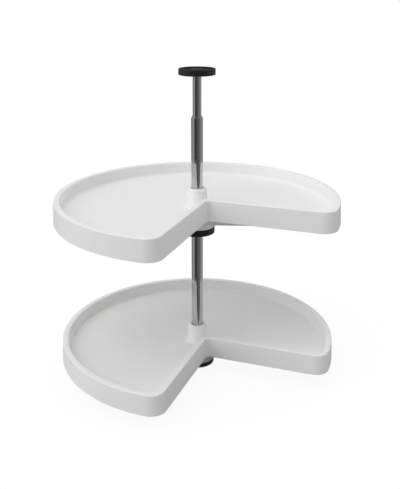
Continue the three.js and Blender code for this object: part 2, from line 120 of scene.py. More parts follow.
class CarouselHubSettings(bpy.types.PropertyGroup):
    boss_height: length("Boss height", "From the floor to the top of the boss", 0.042)
    boss_top: length("Boss top", "Radius of the boss at its top, and of the sleeve", 0.0208)
    boss_base: length("Boss base", "Radius of the boss at the floor, before its flare", 0.0226)
    shoulder: length("Shoulder", "Rounding round the top of the boss", 0.0048)
    flare: length("Flare", "Fillet between the boss and the floor", 0.006)
    bore: length("Bore", "Radius of the hole that the post passes through", 0.0131)
    seat: length("Seat", "Radius of the seat of a bush", 0.0168)
    lip: length("Lip", "Height of the lip that stops the upper bush", 0.005)
    skirt_top: length("Skirt top", "Outer radius of the skirt at the floor", 0.040)
    skirt_bottom: length("Skirt bottom", "Outer radius of the skirt at its lower end", 0.0372)
    skirt_drop: length("Skirt drop", "From the rim's bottom edge to the skirt's end", 0.0252)
    skirt_wall: length("Skirt wall", "Thickness of the skirt", 0.003)


class CarouselPostSettings(bpy.types.PropertyGroup):
    outer_wall: length("Outer wall", "Wall of the outer tube", 0.0015)
    inner_wall: length("Inner wall", "Wall of the inner tube", 0.0012)
    running_gap: length("Running gap", "Gap between a tube and what runs on or in it", 0.0003)
    neck: length("Neck", "Length of the drawn-in mouth of the outer tube", 0.0045)
    lock_screw_drop: length("Lock screw", "From the mouth down to the lock screw", 0.018)
    sides: IntProperty(name="Sides", description="Steps round a turned piece", default=128, min=24)


class CarouselDiscSettings(bpy.types.PropertyGroup):
    rounding: length("Rounding", "Rounding of the outer edges of the black discs", 0.0015)
    dish_rim: length("Dish rim", "Width of the rim round the dish", 0.0035)
    dish_depth: length("Dish depth", "Depth of the dish in the top flange", 0.0045)
    dish_hub: length("Dish hub", "Radius of the raised hub in the dish", 0.014)
    hub_drop: length("Hub drop", "How far the hub stays under the rim", 0.0008)
    recess: length("Recess", "Depth of the recess that holds a bearing ring", 0.0012)
    gap: length("Gap", "Gap round a seated piece", 0.0003)
    fixing_hole: length("Fixing hole", "Radius of a fixing hole", 0.0024)
    fixing_head: length("Fixing head", "Radius of the sunk seat of a fixing hole", 0.0044)
    fixing_circle: length("Fixing circle", "Radius of the circle of the fixing holes", 0.031)


class CarouselFinishSettings(bpy.types.PropertyGroup):
    tray: colour("Tray", "White moulded polymer", (0.86, 0.86, 0.855))
    black: colour("Black", "Black moulded polymer of the discs", (0.014, 0.014, 0.014))
    chrome: colour("Chrome", "Chrome plate of the tubes", (0.55, 0.556, 0.554))
    zinc: colour("Zinc", "Zinc plate of the screws", (0.50, 0.51, 0.53))
    oxide: colour("Oxide", "Black oxide of the ceiling flange's screw", (0.03, 0.03, 0.032))
    bearing: colour("Bearing", "Natural low-friction polymer", (0.70, 0.70, 0.66))


class CarouselStageSettings(bpy.types.PropertyGroup):
    azimuth: angle_setting("Azimuth", "Camera's angle round the post from -Y", 20.426)
    distance: length("Distance", "From the post's axis to the camera, level", 1.4959)
    height: length("Height", "Height of the camera", 0.8258)
    pitch: angle_setting("Pitch", "How far the camera looks down", 19.88)
    yaw: angle_setting("Yaw", "How far the camera looks to the right of the post", 0.235)
    lens: FloatProperty(name="Lens", description="Focal length in millimetres", default=53.49, min=1)
    light: FloatProperty(name="Light", description="Strength of all the soft lights", default=1, min=0)


# ---- Finishes ----


def new_finish(name, metallic=0.0, specular=0.5):
    """A material with its shader, and the coordinates that its patterns read."""
    material = bpy.data.materials.new(name)
    material.use_nodes = True
    tree = material.node_tree
    shader = tree.nodes["Principled BSDF"]
    shader.inputs["Metallic"].default_value = metallic
    shader.inputs["Specular IOR Level"].default_value = specular
    place = tree.nodes.new("ShaderNodeTexCoord")
    return material, tree, shader, place.outputs["Object"]


def calculate(tree, operation, *values):
    """The result of a calculation on numbers and outputs of other nodes."""
    node = tree.nodes.new("ShaderNodeMath")
    node.operation = operation
    for socket, value in zip(node.inputs, values):
        if isinstance(value, bpy.types.NodeSocket):
            tree.links.new(value, socket)
        else:
            socket.default_value = value
    return node.outputs[0]


def grain(tree, place, scale, detail=2, stretch=(1, 1, 1)):
    """A noise pattern; scale counts its grains per metre."""
    mapping = tree.nodes.new("ShaderNodeMapping")
    mapping.inputs["Scale"].default_value = stretch
    tree.links.new(place, mapping.inputs["Vector"])
    noise = tree.nodes.new("ShaderNodeTexNoise")
    noise.inputs["Scale"].default_value = scale
    noise.inputs["Detail"].default_value = detail
    tree.links.new(mapping.outputs["Vector"], noise.inputs["Vector"])
    return noise.outputs["Fac"]


def vary_colour(tree, shader, pattern, base, change):
    """Shifts the base colour a little, up and down with a pattern."""
    mix = tree.nodes.new("ShaderNodeMix")
    mix.data_type = "RGBA"
    mix.inputs["A"].default_value = (*(part * (1 - change) for part in base), 1)
    mix.inputs["B"].default_value = (*(min(part * (1 + change), 1) for part in base), 1)
    tree.links.new(pattern, mix.inputs["Factor"])
    tree.links.new(mix.outputs["Result"], shader.inputs["Base Color"])


# The part of a noise pattern's range that most of it lies in
NOISE_LOW = 0.3
NOISE_HIGH = 0.7


def vary_roughness(tree, shader, pattern, low, high):
    """Lets the roughness wander between two values with a pattern."""
    spread = tree.nodes.new("ShaderNodeMapRange")
    spread.inputs["From Min"].default_value = NOISE_LOW
    spread.inputs["From Max"].default_value = NOISE_HIGH
    spread.inputs["To Min"].default_value = low
    spread.inputs["To Max"].default_value = high
    tree.links.new(pattern, spread.inputs["Value"])
    tree.links.new(spread.outputs["Result"], shader.inputs["Roughness"])


def bump(tree, shader, pattern, depth, strength):
    """Raises a pattern on the surface; depth is its height in metres."""
    relief = tree.nodes.new("ShaderNodeBump")
    relief.inputs["Strength"].default_value = strength
    relief.inputs["Distance"].default_value = depth
    tree.links.new(pattern, relief.inputs["Height"])
    tree.links.new(relief.outputs["Normal"], shader.inputs["Normal"])


def white_polymer(finish):
    """Satin injection-moulded polymer: fine spark-eroded grain, faint flow variation."""
    material, tree, shader, place = new_finish("white_polymer", specular=0.42)
    vary_colour(tree, shader, grain(tree, place, scale=9, detail=3), finish.tray, change=0.012)
    vary_roughness(tree, shader, grain(tree, place, scale=34, detail=3), low=0.42, high=0.52)
    bump(tree, shader, grain(tree, place, scale=1500), depth=0.00004, strength=0.35)
    return material


def black_polymer(finish):
    """Black moulded polymer with a slight sheen and an open grain."""
    material, tree, shader, place = new_finish("black_polymer", specular=0.45)
    vary_colour(tree, shader, grain(tree, place, scale=60), finish.black, change=0.15)
    vary_roughness(tree, shader, grain(tree, place, scale=120, detail=3), low=0.42, high=0.54)
    bump(tree, shader, grain(tree, place, scale=900), depth=0.00004, strength=0.3)
    return material


def chrome_plate(finish):
    """Bright chrome on drawn tube: long faint draw lines and slight haze."""
    material, tree, shader, place = new_finish("chrome_plate", metallic=1.0)
    vary_colour(tree, shader, grain(tree, place, scale=40), finish.chrome, change=0.02)
    haze = grain(tree, place, scale=300, detail=3, stretch=(1, 1, 0.03))
    vary_roughness(tree, shader, haze, low=0.07, high=0.13)
    draw_lines = grain(tree, place, scale=500, stretch=(1, 1, 0.02))
    bump(tree, shader, draw_lines, depth=0.000004, strength=0.5)
    return material


def zinc_plate(finish):
    """Zinc-plated steel, slightly mottled."""
    material, tree, shader, place = new_finish("zinc_plate", metallic=1.0)
    vary_colour(tree, shader, grain(tree, place, scale=220, detail=3), finish.zinc, change=0.10)
    vary_roughness(tree, shader, grain(tree, place, scale=400, detail=3), low=0.26, high=0.42)
    bump(tree, shader, grain(tree, place, scale=1800), depth=0.00001, strength=0.5)
    return material


def black_oxide(finish):
    """Oiled black oxide on a steel screw."""
    material, tree, shader, place = new_finish("black_oxide", metallic=0.7)
    vary_colour(tree, shader, grain(tree, place, scale=300, detail=3), finish.oxide, change=0.2)
    vary_roughness(tree, shader, grain(tree, place, scale=500), low=0.32, high=0.48)
    bump(tree, shader, grain(tree, place, scale=1600), depth=0.00001, strength=0.5)
    return material


def bearing_polymer(finish):
    """Natural, slightly waxy low-friction polymer."""
    material, tree, shader, place = new_finish("bearing_polymer")
    vary_colour(tree, shader, grain(tree, place, scale=50), finish.bearing, change=0.03)
    vary_roughness(tree, shader, grain(tree, place, scale=90, detail=3), low=0.38, high=0.5)
    bump(tree, shader, grain(tree, place, scale=900), depth=0.00003, strength=0.4)
    return material


FINISHES = {
    "white_tray": white_polymer,
    "black_moulding": black_polymer,
    "chrome_tube": chrome_plate,
    "zinc_steel": zinc_plate,
    "black_screw": black_oxide,
    "bearing_polymer": bearing_polymer,
}
made_finishes = {}


def finish_of(slot):
    """The material of a slot of the record, made once."""
    if slot not in made_finishes:
        made_finishes[slot] = FINISHES[slot](bpy.context.scene.carousel_finish)
    return made_finishes[slot]


# ---- Mesh helpers ----

EDGE_SEGMENTS = 4


def turned(profile, sides, closed=True, segments=EDGE_SEGMENTS):
    """Turns a profile of (radius, height, rounding) points about the post's axis."""
    bm = bmesh.new()
    points = [bm.verts.new((radius, 0, height)) for radius, height, _ in profile]
    ends = points[1:] + points[:1] if closed else points[1:]
    lines = [bm.edges.new(pair) for pair in zip(points, ends)]
    bmesh.ops.spin(
        bm, geom=points + lines, cent=(0, 0, 0), axis=(0, 0, 1), dvec=(0, 0, 0), angle=TURN, steps=sides,
        use_merge=True, use_duplicate=False,
    )
    bmesh.ops.remove_doubles(bm, verts=bm.verts, dist=SAME_POINT)
    bmesh.ops.recalc_face_normals(bm, faces=bm.faces)
    for size in sorted({rounding for *_, rounding in profile if rounding}):
        rings = [(radius, height) for radius, height, rounding in profile if rounding == size]
        soften(bm, [edge for edge in bm.edges if on_ring(edge, rings)], size, segments)
    return bm


def on_ring(edge, rings):
    """Whether an edge runs round the post on one of the (radius, height) rings."""
    ends = [(math.hypot(vert.co.x, vert.co.y), vert.co.z) for vert in edge.verts]
    return any(
        all(abs(radius - r) < TINY and abs(height - z) < TINY for r, z in ends) for radius, height in rings
    )


def soften(bm, edges, size, segments):
    """Rounds edges."""
    bmesh.ops.bevel(
        bm, geom=edges, offset=size, offset_type="OFFSET", affect="EDGES", segments=segments, profile=0.5,
        material=-1, clamp_overlap=True,
    )


def pour(bm, other):
    """Moves all of another bmesh into this one."""
    mesh = bpy.data.meshes.new("poured")
    other.to_mesh(mesh)
    other.free()
    bm.from_mesh(mesh)
    bpy.data.meshes.remove(mesh)


def as_piece(name, bm):
    """An object of a bmesh, with its place in its mesh."""
    mesh = bpy.data.meshes.new(name)
    bm.to_mesh(mesh)
    bm.free()
    piece = bpy.data.objects.new(name, mesh)
    bpy.context.scene.collection.objects.link(piece)
    return piece


def apply_modifiers(piece):
    """Makes the evaluated mesh the piece's own."""
    evaluated = piece.evaluated_get(bpy.context.evaluated_depsgraph_get())
    mesh = bpy.data.meshes.new_from_object(evaluated)
    old = piece.data
    piece.modifiers.clear()
    piece.data = mesh
    bpy.data.meshes.remove(old)


def combine(piece, tool_bm, operation):
    """Cuts a tool out of a piece, or joins it on."""
    tool = as_piece("tool", tool_bm)
    modifier = piece.modifiers.new("combine", "BOOLEAN")
    modifier.operation = operation
    modifier.solver = "EXACT"
    modifier.object = tool
    apply_modifiers(piece)
    mesh = tool.data
    bpy.data.objects.remove(tool)
    bpy.data.meshes.remove(mesh)


def cut(piece, tool_bm):
    combine(piece, tool_bm, "DIFFERENCE")


def crosswise(bm, angle, height):
    """Lays a turned bmesh across the post, pointing outwards at an angle."""
    matrix = (
        Matrix.Translation((0, 0, height)) @ Matrix.Rotation(angle, 4, "Z") @ Matrix.Rotation(QUARTER, 4, "Y")
    )
    bmesh.ops.transform(bm, matrix=matrix, verts=bm.verts)
    return bm


def hand_over(piece, body, slot, node):
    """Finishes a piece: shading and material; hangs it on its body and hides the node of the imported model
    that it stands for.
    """
    mesh = piece.data
    mesh.polygons.foreach_set("use_smooth", [True] * len(mesh.polygons))
    mesh.set_sharp_from_angle(angle=SMOOTH_ANGLE)
    mesh.materials.clear()
    mesh.materials.append(finish_of(slot))
    shading = piece.modifiers.new("weighted_normals", "WEIGHTED_NORMAL")
    shading.keep_sharp = True
    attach(piece, body)
    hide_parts(node)


# ---- Trays ----

RIM_STEPS = 220
CORNER_STEPS = 18
WALL_CUTS = 12
ROUND_STEPS = 6
FILLET_STEPS = 8
EDGE_STEPS = 3
HUB_SIDES = 120
HUB_SEGMENTS = 6
BORE_CHAMFER = 0.0004
# Small roundings where the hub meets the floor's underside, and the flat ring left round it
SLEEVE_ROOT = 0.001
SKIRT_ROOT = 0.002
SKIRT_APRON = 0.004
# Rounding of a rib's lower edges, as a share of half its thickness
RIB_EDGE_SHARE = 0.6


def sweep(bm, vert, centre, angle, steps):
    """Draws an arc from a vertex round a centre, and returns its far end."""
    swept = bmesh.ops.spin(
        bm, geom=[vert], cent=(*centre, vert.co.z), axis=(0, 0, 1), dvec=(0, 0, 0), angle=angle, steps=steps,
        use_merge=False, use_duplicate=False,
    )
    return next(part for part in swept["geom_last"] if isinstance(part, bmesh.types.BMVert))


def kidney_face(bm, tray, height):
    """The flat face inside the tray's outline."""
    side = tray.lobe_corner - tray.notch_setback
    along = math.sqrt((tray.radius - tray.lobe_corner) ** 2 - side**2)
    lean = math.atan2(side, along)
    apex = tray.notch_setback + tray.notch_fillet
    start = bm.verts.new((along, -tray.notch_setback, height))
    end = sweep(bm, start, (along, side), QUARTER + lean, CORNER_STEPS)
    end = sweep(bm, end, (0, 0), 3 * QUARTER - 2 * lean, RIM_STEPS)
    end = sweep(bm, end, (-side, -along), QUARTER + lean, CORNER_STEPS)
    foot = bm.verts.new((tray.notch_setback, -apex, height))
    walls = [bm.edges.new((end, foot))]
    end = sweep(bm, foot, (apex, -apex), -QUARTER, CORNER_STEPS)
    walls.append(bm.edges.new((end, start)))
    bmesh.ops.subdivide_edges(bm, edges=walls, cuts=WALL_CUTS)
    return bmesh.ops.contextual_create(bm, geom=bm.edges[:])["faces"][0]


def arc(inset, height, radius, start, end, steps):
    """Points of a rim section's arc as (inset, height), angles from the inward level."""
    angles = [start + (end - start) * i / steps for i in range(steps + 1)]
    return [(inset + radius * math.cos(a), height + radius * math.sin(a)) for a in angles]


def follow(bm, face, section, up):
    """Carries the loop round a face along a section of (inset, height); up is -1 from below."""
    inset, height = section[0]
    for next_inset, next_height in section[1:]:
        bmesh.ops.inset_region(
            bm, faces=[face], thickness=next_inset - inset, depth=(next_height - height) * up,
            use_even_offset=True, use_boundary=True,
        )
        inset, height = next_inset, next_height


def outer_face(tray, height):
    """How far the rim's leaning outer face is set in at a height."""
    return tray.rim_draft * height / tray.rim_height


def basin_face(tray, height):
    """How far the rim's leaning inner face is set in at a height."""
    return tray.rim_width + tray.rim_draft * (2 - height / tray.rim_height)


def rim_sections(tray):
    """The rim's section over its top to the floor, and through its hollow to the underside."""
    lean = math.atan2(tray.rim_draft, tray.rim_height)
    across, rise = math.cos(lean), math.sin(lean)
    edge = tray.edge
    crown = tray.rim_height - tray.rim_round
    touch = crown + tray.rim_round * rise
    outer_edge = outer_face(tray, touch) + tray.rim_round * across
    basin_edge = basin_face(tray, touch) - tray.rim_round * across
    foot = tray.floor_rise + tray.floor_fillet
    fillet = basin_face(tray, foot - tray.floor_fillet * rise) + tray.floor_fillet * across
    ceiling = tray.rim_height - tray.wall
    underside = tray.floor_rise - tray.floor_thickness
    root = basin_face(tray, underside + edge) - tray.wall
    over = [
        (0, 2 * edge),
        *arc(outer_edge, crown, tray.rim_round, math.pi - lean, QUARTER, ROUND_STEPS),
        *arc(basin_edge, crown, tray.rim_round, QUARTER, lean, ROUND_STEPS),
        *arc(fillet, foot, tray.floor_fillet, math.pi + lean, 3 * QUARTER, FILLET_STEPS),
    ]
    under = [
        *arc(edge, edge, edge, math.pi, 3 * QUARTER, EDGE_STEPS),
        *arc(tray.wall - edge, edge, edge, -QUARTER, 0, EDGE_STEPS),
        (outer_face(tray, ceiling) + tray.wall, ceiling),
        (basin_face(tray, ceiling) - tray.wall, ceiling),
        *arc(root + edge, underside + edge, edge, math.pi, 3 * QUARTER, EDGE_STEPS),
    ]
    return over, under


def hub_profile(tray, hub):
    """The hub's skin from the floor, over the boss, through the bore and round the skirt."""
    floor = tray.floor_rise
    underside = floor - tray.floor_thickness
    top = floor + hub.boss_height
    bottom = -hub.skirt_drop
    edge = tray.edge
    lip = top - hub.lip
    return [
        (hub.boss_base + 2 * hub.flare, floor, 0),
        (hub.boss_base, floor, hub.flare),
        (hub.boss_top, top, hub.shoulder),
        (hub.bore + BORE_CHAMFER, top, 0),
        (hub.bore, top - BORE_CHAMFER, 0),
        (hub.bore, lip, 0),
        (hub.seat, lip, 0),
        (hub.seat, bottom, edge),
        (hub.boss_top, bottom, edge),
        (hub.boss_top, underside, SLEEVE_ROOT),
        (hub.skirt_top - hub.skirt_wall, underside, SLEEVE_ROOT),
        (hub.skirt_bottom - hub.skirt_wall, bottom, edge),
        (hub.skirt_bottom, bottom, edge),
        (hub.skirt_top, underside, SKIRT_ROOT),
        (hub.skirt_top + SKIRT_APRON, underside, 0),
    ]


def open_loops(bm, height):
    """The boundary edges at a height."""
    return [
        edge for edge in bm.edges
        if edge.is_boundary and all(abs(vert.co.z - height) < TINY for vert in edge.verts)
    ]


def tray_shell(tray, hub):
    """The closed tray without its ribs, with z = 0 at the rim's bottom edge."""
    bm = bmesh.new()
    over, under = rim_sections(tray)
    bottom_face = kidney_face(bm, tray, under[0][1])
    raised = bmesh.ops.extrude_face_region(bm, geom=[bottom_face])["geom"]
    verts = [part for part in raised if isinstance(part, bmesh.types.BMVert)]
    top_face = next(part for part in raised if isinstance(part, bmesh.types.BMFace))
    bmesh.ops.translate(bm, verts=verts, vec=(0, 0, over[0][1] - under[0][1]))
    bmesh.ops.recalc_face_normals(bm, faces=bm.faces)
    follow(bm, top_face, over, 1)
    follow(bm, bottom_face, under, -1)
    bmesh.ops.delete(bm, geom=[top_face, bottom_face], context="FACES_ONLY")
    pour(bm, turned(hub_profile(tray, hub), HUB_SIDES, closed=False, segments=HUB_SEGMENTS))
    for height, up in ((tray.floor_rise, 1), (tray.floor_rise - tray.floor_thickness, -1)):
        bmesh.ops.triangle_fill(bm, edges=open_loops(bm, height), use_beauty=True, normal=(0, 0, up))
    bmesh.ops.recalc_face_normals(bm, faces=bm.faces)
    return bm


def root_curve(radius, reach, height):
    """The quarter curve by which a rib's lower edge runs up from the skirt."""
    angles = [QUARTER * i / ROUND_STEPS for i in range(ROUND_STEPS + 1)]
    return [(radius + reach * math.sin(a), height - reach / 2 * (1 - math.sin(a))) for a in angles]


def rib_blades(tray, hub):
    """All ribs: tapering blades from inside the skirt's wall to inside the rim's."""
    bm = bmesh.new()
    underside = tray.floor_rise - tray.floor_thickness
    top = underside + tray.floor_thickness / 2
    slope = (hub.skirt_top - hub.skirt_bottom) / (underside + hub.skirt_drop)
    half_wall = hub.skirt_wall / 2

    def start(height):
        return hub.skirt_bottom + slope * (height + hub.skirt_drop) - half_wall

    end = tray.radius - tray.wall / 2
    deepest = -tray.rib_drop - tray.rib_root / 2
    side = [
        (start(deepest), deepest),
        *root_curve(hub.skirt_bottom, tray.rib_root, -tray.rib_drop),
        (end, tray.rib_lift),
        (end, top),
        (start(top), top),
    ]
    half = tray.rib_thickness / 2
    round_side = 3 * QUARTER
    count = round(round_side / tray.rib_pitch) + 1
    for i in range(count):
        verts = [bm.verts.new((x, -half, z)) for x, z in side]
        blade = bm.faces.new(verts)
        grown = bmesh.ops.extrude_face_region(bm, geom=[blade])["geom"]
        far = [part for part in grown if isinstance(part, bmesh.types.BMVert)]
        bmesh.ops.translate(bm, verts=far, vec=(0, tray.rib_thickness, 0))
        bmesh.ops.rotate(
            bm, verts=verts + far, cent=(0, 0, 0), matrix=Matrix.Rotation(i * tray.rib_pitch, 3, "Z")
        )
    bmesh.ops.recalc_face_normals(bm, faces=bm.faces)
    lower = [
        edge for edge in bm.edges
        if all(vert.co.z < tray.rib_lift + TINY for vert in edge.verts)
        and edge.calc_length() > tray.rib_thickness + TINY
    ]
    soften(bm, lower, half * RIB_EDGE_SHARE, EDGE_STEPS)
    return bm


class CAROUSEL_OT_trays(bpy.types.Operator):
    """Builds both white kidney trays"""

    bl_idname = "carousel.trays"
    bl_label = "Kidney trays"

    def execute(self, context):
        tray = context.scene.carousel_tray
        hub = context.scene.carousel_hub
        for level, body in TRAYS.items():
            node = f"{level}_tray"
            piece = as_piece(f"{level}_tray_moulding", tray_shell(tray, hub))
            combine(piece, rib_blades(tray, hub), "UNION")
            rim_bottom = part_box(node)[0].z + hub.skirt_drop
            piece.data.transform(Matrix.Translation((0, 0, rim_bottom)))
            hand_over(piece, body, "white_tray", node)
        return {"FINISHED"}


# ---- Bushes and bearing rings ----

BUSH_ROUND = 0.0005
RING_ROUND = 0.0004


def ring_profile(inner, outer, bottom, top, rounding):
    """The section of a plain ring or tube, with all its edges rounded."""
    corners = ((inner, bottom), (outer, bottom), (outer, top), (inner, top))
    return [(radius, height, rounding) for radius, height in corners]


class CAROUSEL_OT_bearings(bpy.types.Operator):
    """Builds the hub bushes and the two bearing rings"""

    bl_idname = "carousel.bearings"
    bl_label = "Bushes and bearing rings"

    def execute(self, context):
        sides = context.scene.carousel_post.sides
        bore = TUBE_RADIUS + context.scene.carousel_post.running_gap
        for level, body in TRAYS.items():
            for end in ("boss", "skirt"):
                node = f"{level}_{end}_bush"
                low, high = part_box(node)
                profile = ring_profile(bore, node_radius(node), low.z, high.z, BUSH_ROUND)
                piece = as_piece(f"{level}_{end}_bearing_bush", turned(profile, sides))
                hand_over(piece, body, "bearing_polymer", node)
        hub = context.scene.carousel_hub
        for level, body in (("upper", "collar"), ("lower", "post")):
            node = f"{level}_bearing_ring"
            low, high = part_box(node)
            profile = ring_profile(hub.bore, node_radius(node), low.z, high.z, RING_ROUND)
            piece = as_piece(f"{level}_slip_ring", turned(profile, sides))
            hand_over(piece, body, "bearing_polymer", node)
        return {"FINISHED"}


# ---- Post ----

REAR_ANGLE = math.radians(135)
TUBE_END_ROUND = 0.0003
ROD_SIDES = 32
# Radii of the lock screw's shank and head
LOCK_SCREW = 0.0025
LOCK_SCREW_HEAD = 0.0045
# The drawn-in mouth of the outer tube: its upright land, roundings, and shares of the wall left there
MOUTH_LAND = 0.001
NECK_ROUND = 0.0008
LAND_ROUND = 0.0004
LIP_ROUND = 0.0002
LAND_WALL_SHARE = 0.75
LIP_WALL_SHARE = 0.6


def rod_bm(radius, start, end, sides=ROD_SIDES, rounding=0):
    """A solid rod along the post's axis."""
    return turned(
        [(0, start, 0), (radius, start, rounding), (radius, end, rounding), (0, end, 0)], sides, closed=False
    )


def outer_tube_profile(post):
    """The outer tube's section, from its foot to its drawn-in mouth."""
    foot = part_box("outer_tube")[0].z
    bore = TUBE_RADIUS - post.outer_wall
    mouth = ROD_RADIUS + post.running_gap
    shoulder = POST_MOUTH - post.neck
    land = POST_MOUTH - MOUTH_LAND
    return [
        (bore, foot, TUBE_END_ROUND),
        (TUBE_RADIUS, foot, TUBE_END_ROUND),
        (TUBE_RADIUS, shoulder, NECK_ROUND),
        (mouth + post.outer_wall * LAND_WALL_SHARE, land, LAND_ROUND),
        (mouth + post.outer_wall * LIP_WALL_SHARE, POST_MOUTH, TUBE_END_ROUND),
        (mouth, POST_MOUTH, LIP_ROUND),
        (mouth, land, 0),
        (bore, shoulder, NECK_ROUND),
    ]


class CAROUSEL_OT_tubes(bpy.types.Operator):
    """Builds the chrome outer and inner tubes"""

    bl_idname = "carousel.tubes"
    bl_label = "Chrome tubes"

    def execute(self, context):
        post = context.scene.carousel_post
        gap = context.scene.carousel_disc.gap
        outer = as_piece("outer_post_tube", turned(outer_tube_profile(post), post.sides))
        drill = rod_bm(LOCK_SCREW + gap, 0, 2 * TUBE_RADIUS)
        cut(outer, crosswise(drill, REAR_ANGLE, POST_MOUTH - post.lock_screw_drop))
        hand_over(outer, "post", "chrome_tube", "outer_tube")
        low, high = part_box("inner_tube")
        profile = ring_profile(ROD_RADIUS - post.inner_wall, ROD_RADIUS, low.z, high.z, TUBE_END_ROUND)
        inner = as_piece("inner_post_tube", turned(profile, post.sides))
        hand_over(inner, "extension", "chrome_tube", "inner_tube")
        return {"FINISHED"}


# ---- Black discs ----

FIXING_HOLES = 3
HOLE_SIDES = 40
SCREW_SIDES = 48
# How far a cutting tool stands proud of the face that it cuts
PROUD = 0.001
DISC_EDGE = 0.0004
DISH_EDGE = 0.0006
DISH_FILLET = 0.0008
DISH_SLOPE = 0.001
# The collar's grub screws: angle of each from the rear, radius, length, and reach of their drill
GRUB_SPREAD = math.radians(45)
GRUB_RADIUS = 0.003
GRUB_LENGTH = 0.012
GRUB_DRILL = 0.06
# Radii and length of the screws in the flanges' centres
CENTRE_SHANK = 0.003
CENTRE_HEAD = 0.0056
CENTRE_LENGTH = 0.020


def fixing_holes(disc, far_end, head_start, head_end):
    """The sunk fixing holes as one bmesh, from the far end to the sunk heads."""
    beyond = head_end + math.copysign(PROUD, head_end - far_end)
    profile = [
        (0, far_end, 0),
        (disc.fixing_hole, far_end, 0),
        (disc.fixing_hole, head_start, 0),
        (disc.fixing_head, head_end, 0),
        (disc.fixing_head, beyond, 0),
        (0, beyond, 0),
    ]
    holes = bmesh.new()
    for i in range(FIXING_HOLES):
        hole = turned(profile, HOLE_SIDES, closed=False)
        angle = REAR_ANGLE + i * TURN / FIXING_HOLES
        place = (disc.fixing_circle * math.cos(angle), disc.fixing_circle * math.sin(angle), 0)
        bmesh.ops.translate(hole, verts=hole.verts, vec=place)
        pour(holes, hole)
    return holes


def centre_hole(face, direction, depth, gap):
    """The countersunk hole of a centre screw."""
    head = CENTRE_HEAD + gap
    shank = CENTRE_SHANK + gap
    sink = head - shank
    profile = [
        (0, face - direction * PROUD, 0),
        (head, face - direction * PROUD, 0),
        (head, face + direction * gap, 0),
        (shank, face + direction * (sink + gap), 0),
        (shank, face + direction * depth, 0),
        (0, face + direction * depth, 0),
    ]
    return turned(profile, SCREW_SIDES, closed=False)


class CAROUSEL_OT_top_flange(bpy.types.Operator):
    """Builds the dished black flange at the head of the post"""

    bl_idname = "carousel.top_flange"
    bl_label = "Top flange"

    def execute(self, context):
        disc = context.scene.carousel_disc
        sides = context.scene.carousel_post.sides
        low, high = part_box("top_flange")
        radius = node_radius("top_flange")
        socket = ROD_RADIUS + disc.gap
        socket_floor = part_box("inner_tube")[1].z
        dish = high.z - disc.dish_depth
        hub_top = high.z - disc.hub_drop
        rim = radius - disc.dish_rim
        profile = [
            (0, socket_floor, 0),
            (socket, socket_floor, 0),
            (socket, low.z, DISC_EDGE),
            (radius, low.z, disc.rounding),
            (radius, high.z, disc.rounding / 2),
            (rim, high.z, DISH_EDGE),
            (rim - DISH_SLOPE, dish, DISH_FILLET),
            (disc.dish_hub + DISH_SLOPE, dish, DISH_FILLET),
            (disc.dish_hub, hub_top, DISH_EDGE),
            (0, hub_top, 0),
        ]
        piece = as_piece("ceiling_flange", turned(profile, sides, closed=False))
        head_start = low.z + disc.fixing_head - disc.fixing_hole
        cut(piece, fixing_holes(disc, high.z + PROUD, head_start, low.z))
        cut(piece, centre_hole(hub_top - disc.gap, -1, high.z - low.z, disc.gap))
        hand_over(piece, "extension", "black_moulding", "top_flange")
        return {"FINISHED"}


def recessed_profile(disc, node, ring_node, bore):
    """The outer part of a disc whose top holds a bearing ring."""
    low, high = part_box(node)
    radius = node_radius(node)
    recess = node_radius(ring_node) + disc.gap
    return [
        (bore, low.z, DISC_EDGE),
        (radius, low.z, disc.rounding),
        (radius, high.z, disc.rounding),
        (recess, high.z, DISC_EDGE),
        (recess, high.z - disc.recess, 0),
        (bore, high.z - disc.recess, DISC_EDGE),
    ]


class CAROUSEL_OT_base_flange(bpy.types.Operator):
    """Builds the black flange at the foot of the post"""

    bl_idname = "carousel.base_flange"
    bl_label = "Base flange"

    def execute(self, context):
        disc = context.scene.carousel_disc
        sides = context.scene.carousel_post.sides
        low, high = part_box("base_flange")
        socket = TUBE_RADIUS + disc.gap
        socket_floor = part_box("outer_tube")[0].z
        rim = recessed_profile(disc, "base_flange", "lower_bearing_ring", socket)[1:]
        profile = [(0, low.z, 0), *rim, (socket, socket_floor, 0), (0, socket_floor, 0)]
        piece = as_piece("floor_flange", turned(profile, sides, closed=False))
        head_start = high.z - disc.fixing_head + disc.fixing_hole
        cut(piece, fixing_holes(disc, low.z - PROUD, head_start, high.z))
        cut(piece, centre_hole(low.z + disc.gap, 1, high.z - low.z, disc.gap))
        hand_over(piece, "post", "black_moulding", "base_flange")
        return {"FINISHED"}


def grub_angles():
    """The directions of the collar's two grub screws."""
    return {"left": REAR_ANGLE - GRUB_SPREAD, "right": REAR_ANGLE + GRUB_SPREAD}


class CAROUSEL_OT_shelf_collar(bpy.types.Operator):
    """Builds the black collar that carries the upper tray"""

    bl_idname = "carousel.shelf_collar"
    bl_label = "Shelf collar"

    def execute(self, context):
        disc = context.scene.carousel_disc
        post = context.scene.carousel_post
        low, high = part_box("shelf_collar")
        bore = TUBE_RADIUS + post.running_gap
        profile = recessed_profile(disc, "shelf_collar", "upper_bearing_ring", bore)
        piece = as_piece("height_collar", turned(profile, post.sides))
        middle = (low.z + high.z) / 2
        for angle in grub_angles().values():
            cut(piece, crosswise(rod_bm(GRUB_RADIUS + disc.gap, 0, GRUB_DRILL), angle, middle))
        hand_over(piece, "collar", "black_moulding", "shelf_collar")
        return {"FINISHED"}


# ---- Screws ----

SOCKET_SIDES = 6
CENTRE_SEGMENTS = 2
CENTRE_SOCKET_SHARE = 0.7
HEAD_EDGE = 0.0002
TIP_EDGE = 0.0004
POINT_EDGE = 0.0003
LOCK_HEAD_ROUND = 0.0008
LOCK_SOCKET_DEPTH = 0.0015


def screw_socket(radius, start, end):
    """The six-sided key socket of a screw."""
    return rod_bm(radius, start, end, sides=SOCKET_SIDES)


